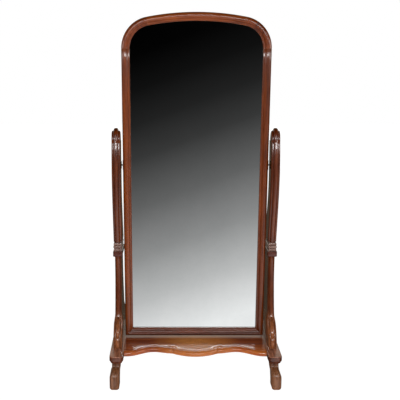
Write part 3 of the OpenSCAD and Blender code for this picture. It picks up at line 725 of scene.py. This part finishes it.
knee_levels = [lower_lo.z + i * 2.2 * mm for i in range(1, 67)]
shaft_levels = [z for z in levels_between(lower_lo.z, lower_hi.z, 7 * mm) if z > knee_levels[-1] + mm]
both_sides("carved_lower_scroll",
           board_rows([lower_lo.z] + knee_levels + shaft_levels, lower_front, lower_back, lower_half,
                      lower_depth),
           "lower_scroll", knee_polish, sharp=60)

# Domed cap: the rib and shoulders carry on over the top of the upright, down to its back edge.
cap_lo, cap_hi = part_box("scroll_cap_right")
cap_middle = (cap_lo.y + cap_hi.y) / 2
cap_reach = (cap_hi.y - cap_lo.y) / 2
cap_rise = cap_hi.z - cap_lo.z


cap_steps = 48


def cap_rows():
    """Lines across the cap, from its back edge over the top and down to its front edge."""
    rows = []
    for i in range(cap_steps + 1):
        angle = math.pi * i / cap_steps
        row = [(-upper_half, cap_middle, cap_lo.z)]
        for s in across:
            x = upper_half * s
            depth = rib_depth_at(x, upper_half, rib_half, rib_depth)
            # the cap's front is worked with a short flute between two beads
            front_part = smooth(2.3, 2.75, angle) * smooth(3.12, 2.95, angle)
            depth += 3.2 * mm * math.exp(-(x / (3.2 * mm)) ** 2) * front_part
            row.append((x, cap_middle + (cap_reach - depth) * math.cos(angle),
                        cap_lo.z + (cap_rise - depth) * math.sin(angle)))
        row.append((upper_half, cap_middle, cap_lo.z))
        rows.append(row)
    return rows


cap_grid = cap_rows()
cap_width = len(cap_grid[0])
last_row = cap_steps * cap_width
cap_faces = [(i * cap_width + j, i * cap_width + j + 1, (i + 1) * cap_width + j + 1, (i + 1) * cap_width + j)
             for i in range(cap_steps) for j in range(cap_width - 1)]
cap_faces.append(tuple(range(cap_width)) + tuple(range(last_row + cap_width - 2, last_row, -1)))
for side, word in ((-1, "left"), (1, "right")):
    points = [(side * (upright_at + x), y, z) for row in cap_grid for x, y, z in row]
    finish_piece(mesh_object(f"domed_cap_{word}", points, cap_faces), "stand", f"scroll_cap_{word}",
                 shaft_polish)


def rounded_plan(half_x, half_y, radius):
    """A rectangle with round corners, as a closed ring about its centre."""
    ring = []
    for quarter, (sx, sy) in enumerate(((1, 1), (-1, 1), (-1, -1), (1, -1))):
        ring += arc(sx * (half_x - radius), sy * (half_y - radius), radius, radius,
                    90 * quarter, 90 * quarter + 90, 7)
    return ring


def turned_section(name, node, profile, radius, material):
    """A block whose outline in plan is drawn in by the profile: (height, inset) pairs from below."""
    lo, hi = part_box(f"{node}_right")
    half_x, half_y = (hi.x - lo.x) / 2, (hi.y - lo.y) / 2
    off_x, off_y = (hi.x + lo.x) / 2 - upright_at, (hi.y + lo.y) / 2
    rows = []
    for z, inward in profile:
        ring = rounded_plan(half_x - inward, half_y - inward, max(radius - inward, 1.5 * mm))
        rows.append([(off_x + x, off_y + y, lo.z + z) for x, y in ring])
    both_sides(name, rows, node, material)


# Collar: a square block with three rings above it, each a half-round with a fillet between.
ring_steps = 8


def ring_profile(low, high, inward, outward):
    """One half-round ring of the collar, as (height, inset) pairs from below."""
    angles = [math.pi * i / ring_steps for i in range(ring_steps + 1)]
    return [(low + (high - low) * (1 - math.cos(a)) / 2, inward - (inward - outward) * math.sin(a))
            for a in angles]


collar_lo, collar_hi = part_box("collar_right")
collar_rise = collar_hi.z - collar_lo.z
block_top = 0.38 * collar_rise
collar_profile = [(0, 2.2 * mm), (0.6 * mm, 1.2 * mm), (2 * mm, 0.4 * mm), (4 * mm, 0),
                  (block_top - 2 * mm, 0), (block_top - 0.6 * mm, 0.5 * mm), (block_top, 1.6 * mm),
                  (block_top + 0.6 * mm, 3.4 * mm)]
ring_share = (collar_rise - block_top - 1.2 * mm) / 3
for number, (inward, outward) in enumerate(((6.5, 3.4), (6, 1.8), (6.5, 3.4))):
    start = block_top + 0.9 * mm + number * ring_share
    collar_profile += ring_profile(start, start + ring_share - 0.5 * mm, inward * mm, outward * mm)
collar_profile.append((collar_rise, 7 * mm))
# The rings above the block are painted paler in patches: partly worn polish, partly painted light where the
# rings catch it.
ring_wear_and_painted_light = mahogany("mahogany_collars_wear_and_painted_light", "#2c0c05", "#45180d", "#57251a", "X", coat=0.2,
                       wear_and_painted_light=("#86685c", collar_lo.z + block_top + mm, collar_lo.z + block_top - mm))
turned_section("ringed_collar", "collar", collar_profile, 5 * mm, ring_wear_and_painted_light)

# ---- Platform and end blocks ------------------------------------------------------------
# The platform is one figured board with a moulded serpentine front; its cusps are cut in with a
# gouge. It is dowelled between two solid blocks with rounded ends that carry the uprights.

platform_lo, platform_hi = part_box("platform")
# The bright patch in the middle of the board is a flame figure and a painted pool of light on the platform.
platform_polish = mahogany("figured_mahogany_painted_light_pool", "#7c3210", "#ab5420", "#c8752f", "X", ribbon=16 * mm,
                        coat=0.12, flame_and_light_pool=("#e39448", (0.0, -0.05), (0.22, 0.18)))
platform_half = platform_hi.x
front_points = sorted({(round(v.co.x, 5), v.co.y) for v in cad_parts["platform"].data.vertices
                       if abs(v.co.z - platform_lo.z) < 1e-5 and v.co.y < -0.05})
cusp_x = 108 * mm
roll_off = 12 * mm


def platform_front(x):
    """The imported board's front edge at x."""
    for (x0, y0), (x1, y1) in zip(front_points, front_points[1:]):
        if x0 <= x <= x1 and x1 > x0:
            return y0 + (y1 - y0) * (x - x0) / (x1 - x0)
    return front_points[0][1] if x < 0 else front_points[-1][1]


nose_round = 15 * mm
platform_rise = platform_hi.z - platform_lo.z
edge_section = [(depth * mm, up * mm) for depth, up in ((6, 0), (2, 0.6), (0.4, 2.4), (0, 5))]
edge_section += [(nose_round - nose_round * math.cos(math.radians(a)),
                  5 * mm + (platform_rise - 6.2 * mm) * math.sin(math.radians(a)))
                 for a in range(9, 91, 9)]
edge_section += [(nose_round + 0.8 * mm, platform_rise - 1.2 * mm), (nose_round + 1.2 * mm, platform_rise)]
top_depths = [nose_round + d * mm for d in (3, 6, 9, 12, 15, 18, 22, 26, 30, 36, 44, 56, 76, 110, 150, 200)]


def platform_row(x):
    """The platform's section at x, from the foot of its front edge over the top to its back."""
    edge = platform_front(x)
    beside = abs(x) - cusp_x
    # each cusp is a gouge cut between two rolls of wood, with a scoop behind each roll
    roll = 2.5 * mm * (math.exp(-((beside + roll_off) / (6 * mm)) ** 2)
                       + math.exp(-((beside - roll_off) / (6 * mm)) ** 2))
    cut = 7 * mm * math.exp(-(beside / (4.5 * mm)) ** 2)
    row = []
    for depth, up in edge_section:
        share = math.sin(math.pi / 2 * min(up / platform_rise, 1))
        row.append((x, edge + depth + (cut - roll * 0.5) * share * 0.8, platform_lo.z + up))
    for depth in top_depths:
        y = min(edge + depth, platform_hi.y - 2 * mm - (200 * mm + nose_round - depth) * 0.01)
        back_off = depth - nose_round
        notch = 9 * mm * math.exp(-(beside / (5.5 * mm)) ** 2 - ((back_off - 4 * mm) / (9 * mm)) ** 2)
        scoop = 4.5 * mm * math.exp(-((abs(beside) - 15 * mm) / (9 * mm)) ** 2
                                    - ((back_off - 14 * mm) / (7 * mm)) ** 2)
        # a shallow groove runs along behind the rounded edge
        groove = 1.6 * mm * math.exp(-((back_off - 7 * mm) / (4.5 * mm)) ** 2)
        row.append((x, y, platform_hi.z - min(notch + scoop + groove, 10 * mm)))
    row.append((x, platform_hi.y - 1.2 * mm, platform_hi.z))
    row.append((x, platform_hi.y, platform_hi.z - 1.2 * mm))
    row.append((x, platform_hi.y, platform_lo.z + 1.2 * mm))
    row.append((x, platform_hi.y - 1.2 * mm, platform_lo.z))
    return row


stations = sorted({round(s * x * mm, 4) for s in (-1, 1) for x in
                   list(range(0, 80, 8)) + list(range(80, 140, 2)) + list(range(140, 333, 6))}
                  | {-platform_half, platform_half})
board = lofted("serpentine_platform", [platform_row(x) for x in stations])
finish_piece(board, "stand", "platform", platform_polish, sharp=45)
board.visible_glossy = False

block_lo, block_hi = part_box("end_block_right")
block_rise = block_hi.z - block_lo.z
# The top face is painted paler in patches: the light falling on the top, painted in, with some wear.
cross_polish = mahogany("polished_mahogany_blocks", "#3a170a", "#582814", "#6c361e", "Y", coat=0.16,
                        wear_and_painted_light=("#b8785a", block_hi.z - mm, block_hi.z - 4 * mm))
step_rise = 10 * mm
block_profile = [(0, 6.5 * mm), (0.8 * mm, 5.6 * mm), (2.5 * mm, 5.2 * mm)]
block_profile += [(2.5 * mm + (step_rise - 3.5 * mm) * math.sin(math.radians(a)),
                   5.2 * mm - 4.2 * mm * (1 - math.cos(math.radians(a)))) for a in range(15, 91, 15)]
block_profile += [(step_rise - 0.5 * mm, 1.0 * mm), (step_rise + 0.8 * mm, 0.2 * mm),
                  (step_rise + 2.5 * mm, 0)]
block_round = 4 * mm
block_profile += [(block_rise - block_round + block_round * math.sin(math.radians(a)),
                   block_round * (1 - math.cos(math.radians(a)))) for a in range(0, 91, 15)]
turned_section("end_block_rounded", "end_block", block_profile, 20 * mm, cross_polish)

# ---- Scroll feet ------------------------------------------------------------------------
# Four short legs sawn from the solid and dowelled under the blocks. Each sweeps down to a scroll
# foot whose front swells out round a raised rib. Front and back pairs are alike.

leg_polish = mahogany("polished_mahogany_legs", "#3a1a0b", "#5c2f17", "#784424", "Z", coat=0.34,
                      wear_and_painted_light=("#865534", 0.085, 0.115))
leg_lo, leg_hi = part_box("front_leg_right")
leg_front, leg_under = outline_of("front_leg_right", 2 * mm)
neck_half, foot_half = 19 * mm, 22 * mm
neck_at, foot_at = leg_lo.x + neck_half, leg_hi.x - foot_half
oval_middle, oval_half, oval_reach = 47 * mm, 45 * mm, 15 * mm
sole_round, sole_rise = 6.5 * mm, 12 * mm


def foot_share(z):
    """0 on the neck, 1 on the foot, which swells out below it."""
    return smooth(84 * mm, 62 * mm, z)


def leg_half(z):
    """Half the width of the leg: a narrow neck over a wider foot with a rounded sole."""
    sole = sole_round * (1 - math.sqrt(max(1 - (1 - min(z / sole_rise, 1)) ** 2, 0)))
    return neck_half + (foot_half - neck_half) * foot_share(z) - sole


def leg_depth(x, z, half):
    """Carving on the leg's face: a ridge down the neck which forks into the rim of an oval on the foot."""
    off = abs(x)
    edge = 5 * mm * max((off / half - 0.7) / 0.3, 0) ** 2
    t = (z - oval_middle) / oval_half
    rim = oval_reach * math.sqrt(max(1 - t * t, 0))
    far = 3.2 * mm if off < rim else 3.6 * mm
    ground = 2.4 * mm if off < rim else 3.6 * mm
    relief = ground * (1 - math.exp(-((off - rim) / far) ** 2)) * smooth(0, 6 * mm, z)
    return relief + edge + 2 * mm * smooth(14 * mm, 2 * mm, z)


leg_levels = [0, 0.6 * mm, 1.6 * mm, 3 * mm, 5 * mm, 8 * mm] + [i * mm for i in range(11, 59, 4)] \
    + [i * mm for i in range(59, 119, 2)] + [120 * mm, 123 * mm, 126 * mm, leg_hi.z]


def leg_rows(back=False):
    """Level rings up a leg, about the middle of its neck; the rear legs face the other way."""
    rows = []
    for z in leg_levels:
        half = leg_half(z)
        shift = (foot_at - neck_at) * foot_share(z)
        front, under = leg_front(z), leg_under(z)
        rise = (leg_front(z + mm) - leg_front(z - mm)) / (2 * mm)
        stretch = min(math.sqrt(1 + rise ** 2), 1.5)
        room = (under - front) * 0.45
        ring = [(half * s, front + min(leg_depth(half * s, z, half) * stretch, room)) for s in across]
        edge = min(3 * mm, room * 0.4)
        ring += [(half, under - edge), (half - 0.3 * edge, under - 0.3 * edge), (half - edge, under)]
        ring += [(edge - half, under), (0.3 * edge - half, under - 0.3 * edge), (-half, under - edge)]
        rows.append([(x + shift, -y if back else y, z) for x, y in ring])
    return rows


both_sides("scroll_foot_front", leg_rows(), "front_leg", leg_polish, sharp=45, at=neck_at)
both_sides("scroll_foot_rear", leg_rows(back=True), "rear_leg", leg_polish, sharp=45, at=neck_at)

beech = bare_wood("bare_beech_dowels", "#b08a5c", "#c9a576", 1.5 * mm)
dress(beech, "frame_dowels", "mitre_dowels", "cap_dowels", "collar_dowels", "upright_dowels",
      "platform_dowels", "leg_dowels")
